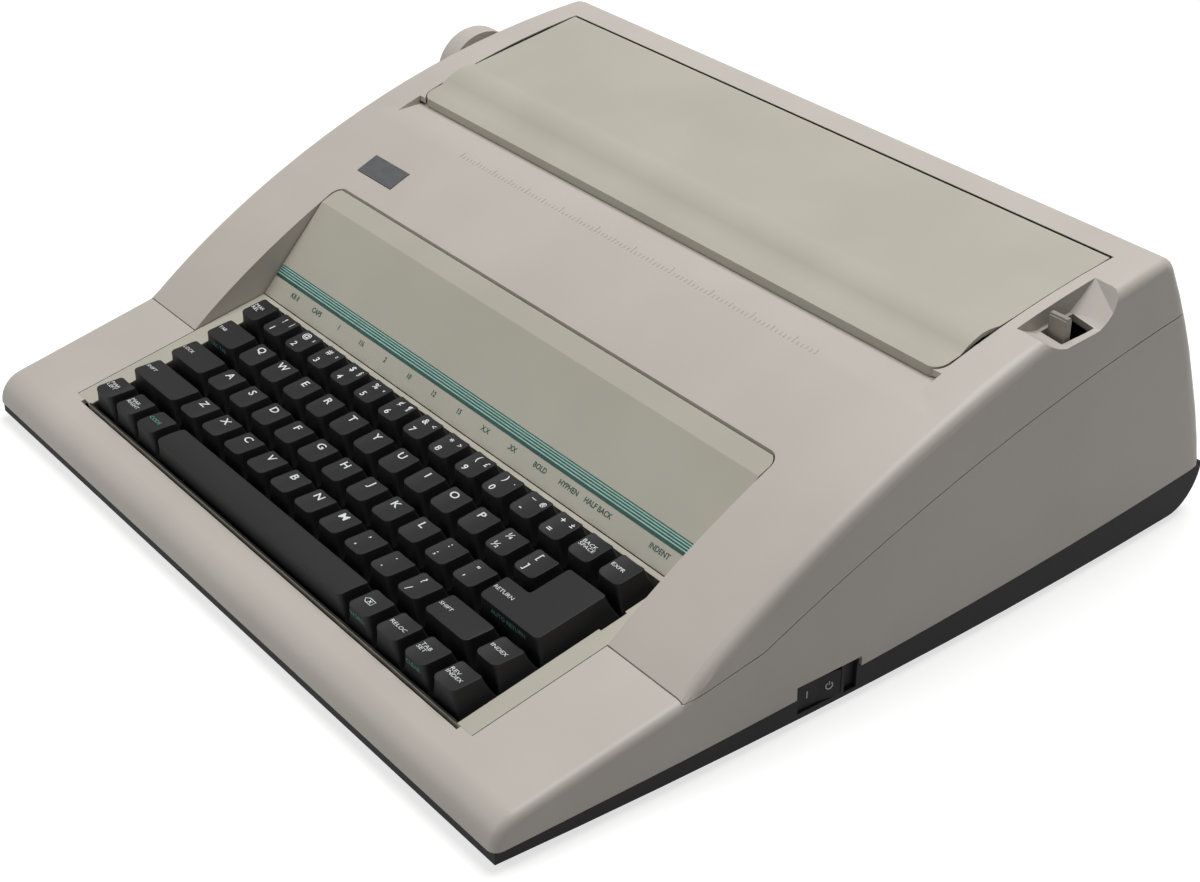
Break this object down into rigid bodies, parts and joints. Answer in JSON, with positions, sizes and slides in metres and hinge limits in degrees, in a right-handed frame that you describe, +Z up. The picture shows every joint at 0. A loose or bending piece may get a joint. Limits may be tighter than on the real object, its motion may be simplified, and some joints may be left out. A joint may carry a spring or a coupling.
{
  "type": "electronic typewriter",
  "caption": "Portable electronic typewriter with a sloping black keyboard, a hinged top lid over the platen and daisy wheel, a side knob and a rocker switch.",
  "frame": {"origin": "on the surface it stands on, under the middle of the box round the whole object", "axes": "+Z up, +X to the typist's right, +Y from the keyboard towards the back"},
  "size_m": [0.411, 0.3769, 0.132],
  "materials": {
    "base_black": "fine moulded grain",
    "foot_rubber": "matt",
    "screw_steel": "zinc plated",
    "case_beige": "fine moulded grain",
    "panel_beige": "fine moulded grain",
    "badge_grey": "satin",
    "socket_black": "satin",
    "membrane_grey": "matt",
    "zinc_plate": "zinc plated",
    "shaft_steel": "ground",
    "platen_rubber": "ground, matt",
    "gear_nylon": "moulded nylon",
    "motor_grey": "satin",
    "roller_rubber": "matt",
    "lever_grey": "satin",
    "carriage_grey": "glass filled, matt",
    "wheel_black": "satin",
    "belt_rubber": "matt",
    "board_green": "solder mask",
    "transformer_steel": "varnished",
    "key_black": "satin"
  },
  "bodies": {
    "root": {"base_pan": "base_black", "rubber_feet": "foot_rubber", "case_screws": "screw_steel", "lower_case": "case_beige", "upper_cover": "case_beige", "keyboard_surround": "panel_beige", "legend_panel": "panel_beige", "badge_plate": "badge_grey", "mains_inlet": "socket_black", "key_guide_plate": "socket_black", "switch_membrane": "membrane_grey", "chassis_frame": "zinc_plate", "carriage_rails": "shaft_steel", "stepper_motors": "motor_grey", "paper_pan": "zinc_plate", "drive_belt": "belt_rubber", "main_board": "board_green", "transformer": "transformer_steel"},
    "lid": {"top_lid": "panel_beige"},
    "rocker": {"power_rocker": "base_black"},
    "roller": {"platen": "platen_rubber", "platen_knob": "case_beige"},
    "pinion": {"feed_pinion": "gear_nylon"},
    "pressure_rollers": {"feed_rollers": "roller_rubber"},
    "bail": {"paper_bail": "shaft_steel"},
    "release_lever": {"paper_release_lever": "lever_grey"},
    "print_carriage": {"carriage": "carriage_grey", "ribbon_cassette": "socket_black"},
    "type_wheel": {"daisy_wheel": "wheel_black"},
    "hammer": {"print_hammer": "shaft_steel"},
    "pulley": {"belt_pulley": "gear_nylon"},
    "idler": {"belt_idler": "gear_nylon"},
    "key_margin_release_body": {"key_margin_release": "key_black"},
    "key_back_space_body": {"key_back_space": "key_black"},
    "key_express_body": {"key_express": "key_black"},
    "key_tab_body": {"key_tab": "key_black"},
    "key_return_body": {"key_return": "key_black"},
    "key_lock_body": {"key_lock": "key_black"},
    "key_shift_left_body": {"key_shift_left": "key_black"},
    "key_shift_right_body": {"key_shift_right": "key_black"},
    "key_index_body": {"key_index": "key_black"},
    "key_margin_left_body": {"key_margin_left": "key_black"},
    "key_margin_right_body": {"key_margin_right": "key_black"},
    "key_code_body": {"key_code": "key_black"},
    "key_space_body": {"key_space": "key_black"},
    "key_erase_body": {"key_erase": "key_black"},
    "key_relocate_body": {"key_relocate": "key_black"},
    "key_tab_set_body": {"key_tab_set": "key_black"},
    "key_reverse_index_body": {"key_reverse_index": "key_black"},
    "keys_1_q_a_z_body": {"keys_1_q_a_z": "key_black"},
    "keys_2_w_s_x_body": {"keys_2_w_s_x": "key_black"},
    "keys_3_e_d_c_body": {"keys_3_e_d_c": "key_black"},
    "keys_4_r_f_v_body": {"keys_4_r_f_v": "key_black"},
    "keys_5_t_g_b_body": {"keys_5_t_g_b": "key_black"},
    "keys_6_y_h_n_body": {"keys_6_y_h_n": "key_black"},
    "keys_7_u_j_m_body": {"keys_7_u_j_m": "key_black"},
    "keys_8_i_k_comma_body": {"keys_8_i_k_comma": "key_black"},
    "keys_9_o_l_period_body": {"keys_9_o_l_period": "key_black"},
    "keys_0_p_slash_body": {"keys_0_p_slash": "key_black"},
    "keys_symbols_body": {"keys_symbols": "key_black"}
  },
  "joints": [
    {"name": "lid_hinge", "type": "hinge", "parent": "root", "child": "lid", "pos_m": [0.005, 0.1259, 0.12824], "axis": [-1, 0, 0], "range_deg": [0, 105]},
    {"name": "platen_turn", "type": "hinge", "parent": "root", "child": "roller", "pos_m": [0.005, 0.0885, 0.103], "axis": [1, 0, 0], "continuous": true},
    {"name": "carriage_slide", "type": "slide", "parent": "root", "child": "print_carriage", "axis": [1, 0, 0], "range_m": [-0.112, 0.112]},
    {"name": "lever_swing", "type": "hinge", "parent": "root", "child": "release_lever", "pos_m": [0.192, 0.086, 0.088], "axis": [-1, 0, 0], "range_deg": [0, 17]},
    {"name": "bail_lift", "type": "hinge", "parent": "root", "child": "bail", "pos_m": [0.005, 0.0965, 0.1105], "axis": [-1, 0, 0], "range_deg": [0, 6]},
    {"name": "power_switch", "type": "hinge", "parent": "root", "child": "rocker", "pos_m": [0.19922, -0.0416, 0.012], "axis": [0, 0, 1], "range_deg": [0, 10]},
    {"name": "type_wheel_turn", "type": "hinge", "parent": "print_carriage", "child": "type_wheel", "pos_m": [0.005, 0.0695, 0.067], "axis": [0, 1, 0], "continuous": true},
    {"name": "hammer_strike", "type": "slide", "parent": "print_carriage", "child": "hammer", "axis": [0, 1, 0], "range_m": [0, 0.0022], "stiffness_N_per_m": 200, "springref_m": -0.002},
    {"name": "pinion_turn", "type": "hinge", "parent": "root", "child": "pinion", "pos_m": [-0.17, 0.07284, 0.08734], "axis": [1, 0, 0], "continuous": true},
    {"name": "pressure_roller_turn", "type": "hinge", "parent": "root", "child": "pressure_rollers", "pos_m": [0.005, 0.09803, 0.08508], "axis": [1, 0, 0], "continuous": true},
    {"name": "pulley_turn", "type": "hinge", "parent": "root", "child": "pulley", "pos_m": [0.155, 0.0265, 0.04], "axis": [0, 1, 0], "range_deg": [-990, 990]},
    {"name": "idler_turn", "type": "hinge", "parent": "root", "child": "idler", "pos_m": [-0.145, 0.0265, 0.04], "axis": [0, 1, 0], "range_deg": [-990, 990]},
    {"name": "key_margin_release_press", "type": "slide", "parent": "root", "child": "key_margin_release_body", "axis": [0, 0.2011, -0.9796], "range_m": [0, 0.0035], "stiffness_N_per_m": 150, "springref_m": -0.003},
    {"name": "key_back_space_press", "type": "slide", "parent": "root", "child": "key_back_space_body", "axis": [0, 0.2011, -0.9796], "range_m": [0, 0.0035], "stiffness_N_per_m": 150, "springref_m": -0.003},
    {"name": "key_express_press", "type": "slide", "parent": "root", "child": "key_express_body", "axis": [0, 0.2011, -0.9796], "range_m": [0, 0.0035], "stiffness_N_per_m": 150, "springref_m": -0.003},
    {"name": "key_tab_press", "type": "slide", "parent": "root", "child": "key_tab_body", "axis": [0, 0.2011, -0.9796], "range_m": [0, 0.0035], "stiffness_N_per_m": 150, "springref_m": -0.003},
    {"name": "key_return_press", "type": "slide", "parent": "root", "child": "key_return_body", "axis": [0, 0.2011, -0.9796], "range_m": [0, 0.0035], "stiffness_N_per_m": 150, "springref_m": -0.003},
    {"name": "key_lock_press", "type": "slide", "parent": "root", "child": "key_lock_body", "axis": [0, 0.2011, -0.9796], "range_m": [0, 0.0035], "stiffness_N_per_m": 150, "springref_m": -0.003},
    {"name": "key_shift_left_press", "type": "slide", "parent": "root", "child": "key_shift_left_body", "axis": [0, 0.2011, -0.9796], "range_m": [0, 0.0035], "stiffness_N_per_m": 150, "springref_m": -0.003},
    {"name": "key_shift_right_press", "type": "slide", "parent": "root", "child": "key_shift_right_body", "axis": [0, 0.2011, -0.9796], "range_m": [0, 0.0035], "stiffness_N_per_m": 150, "springref_m": -0.003},
    {"name": "key_index_press", "type": "slide", "parent": "root", "child": "key_index_body", "axis": [0, 0.2011, -0.9796], "range_m": [0, 0.0035], "stiffness_N_per_m": 150, "springref_m": -0.003},
    {"name": "key_margin_left_press", "type": "slide", "parent": "root", "child": "key_margin_left_body", "axis": [0, 0.2011, -0.9796], "range_m": [0, 0.0035], "stiffness_N_per_m": 150, "springref_m": -0.003},
    {"name": "key_margin_right_press", "type": "slide", "parent": "root", "child": "key_margin_right_body", "axis": [0, 0.2011, -0.9796], "range_m": [0, 0.0035], "stiffness_N_per_m": 150, "springref_m": -0.003},
    {"name": "key_code_press", "type": "slide", "parent": "root", "child": "key_code_body", "axis": [0, 0.2011, -0.9796], "range_m": [0, 0.0035], "stiffness_N_per_m": 150, "springref_m": -0.003},
    {"name": "key_space_press", "type": "slide", "parent": "root", "child": "key_space_body", "axis": [0, 0.2011, -0.9796], "range_m": [0, 0.0035], "stiffness_N_per_m": 150, "springref_m": -0.003},
    {"name": "key_erase_press", "type": "slide", "parent": "root", "child": "key_erase_body", "axis": [0, 0.2011, -0.9796], "range_m": [0, 0.0035], "stiffness_N_per_m": 150, "springref_m": -0.003},
    {"name": "key_relocate_press", "type": "slide", "parent": "root", "child": "key_relocate_body", "axis": [0, 0.2011, -0.9796], "range_m": [0, 0.0035], "stiffness_N_per_m": 150, "springref_m": -0.003},
    {"name": "key_tab_set_press", "type": "slide", "parent": "root", "child": "key_tab_set_body", "axis": [0, 0.2011, -0.9796], "range_m": [0, 0.0035], "stiffness_N_per_m": 150, "springref_m": -0.003},
    {"name": "key_reverse_index_press", "type": "slide", "parent": "root", "child": "key_reverse_index_body", "axis": [0, 0.2011, -0.9796], "range_m": [0, 0.0035], "stiffness_N_per_m": 150, "springref_m": -0.003},
    {"name": "keys_1_q_a_z_press", "type": "slide", "parent": "root", "child": "keys_1_q_a_z_body", "axis": [0, 0.2011, -0.9796], "range_m": [0, 0.0035], "stiffness_N_per_m": 150, "springref_m": -0.003},
    {"name": "keys_2_w_s_x_press", "type": "slide", "parent": "root", "child": "keys_2_w_s_x_body", "axis": [0, 0.2011, -0.9796], "range_m": [0, 0.0035], "stiffness_N_per_m": 150, "springref_m": -0.003},
    {"name": "keys_3_e_d_c_press", "type": "slide", "parent": "root", "child": "keys_3_e_d_c_body", "axis": [0, 0.2011, -0.9796], "range_m": [0, 0.0035], "stiffness_N_per_m": 150, "springref_m": -0.003},
    {"name": "keys_4_r_f_v_press", "type": "slide", "parent": "root", "child": "keys_4_r_f_v_body", "axis": [0, 0.2011, -0.9796], "range_m": [0, 0.0035], "stiffness_N_per_m": 150, "springref_m": -0.003},
    {"name": "keys_5_t_g_b_press", "type": "slide", "parent": "root", "child": "keys_5_t_g_b_body", "axis": [0, 0.2011, -0.9796], "range_m": [0, 0.0035], "stiffness_N_per_m": 150, "springref_m": -0.003},
    {"name": "keys_6_y_h_n_press", "type": "slide", "parent": "root", "child": "keys_6_y_h_n_body", "axis": [0, 0.2011, -0.9796], "range_m": [0, 0.0035], "stiffness_N_per_m": 150, "springref_m": -0.003},
    {"name": "keys_7_u_j_m_press", "type": "slide", "parent": "root", "child": "keys_7_u_j_m_body", "axis": [0, 0.2011, -0.9796], "range_m": [0, 0.0035], "stiffness_N_per_m": 150, "springref_m": -0.003},
    {"name": "keys_8_i_k_comma_press", "type": "slide", "parent": "root", "child": "keys_8_i_k_comma_body", "axis": [0, 0.2011, -0.9796], "range_m": [0, 0.0035], "stiffness_N_per_m": 150, "springref_m": -0.003},
    {"name": "keys_9_o_l_period_press", "type": "slide", "parent": "root", "child": "keys_9_o_l_period_body", "axis": [0, 0.2011, -0.9796], "range_m": [0, 0.0035], "stiffness_N_per_m": 150, "springref_m": -0.003},
    {"name": "keys_0_p_slash_press", "type": "slide", "parent": "root", "child": "keys_0_p_slash_body", "axis": [0, 0.2011, -0.9796], "range_m": [0, 0.0035], "stiffness_N_per_m": 150, "springref_m": -0.003},
    {"name": "keys_symbols_press", "type": "slide", "parent": "root", "child": "keys_symbols_body", "axis": [0, 0.2011, -0.9796], "range_m": [0, 0.0035], "stiffness_N_per_m": 150, "springref_m": -0.003}
  ],
  "couplings": [
    {"joint": "pinion_turn", "follows": "platen_turn", "ratio": -2.6667},
    {"joint": "pressure_roller_turn", "follows": "platen_turn", "ratio": -2.3333},
    {"joint": "pulley_turn", "follows": "carriage_slide", "rad_per_m": 151.51},
    {"joint": "idler_turn", "follows": "carriage_slide", "rad_per_m": 151.51}
  ]
}
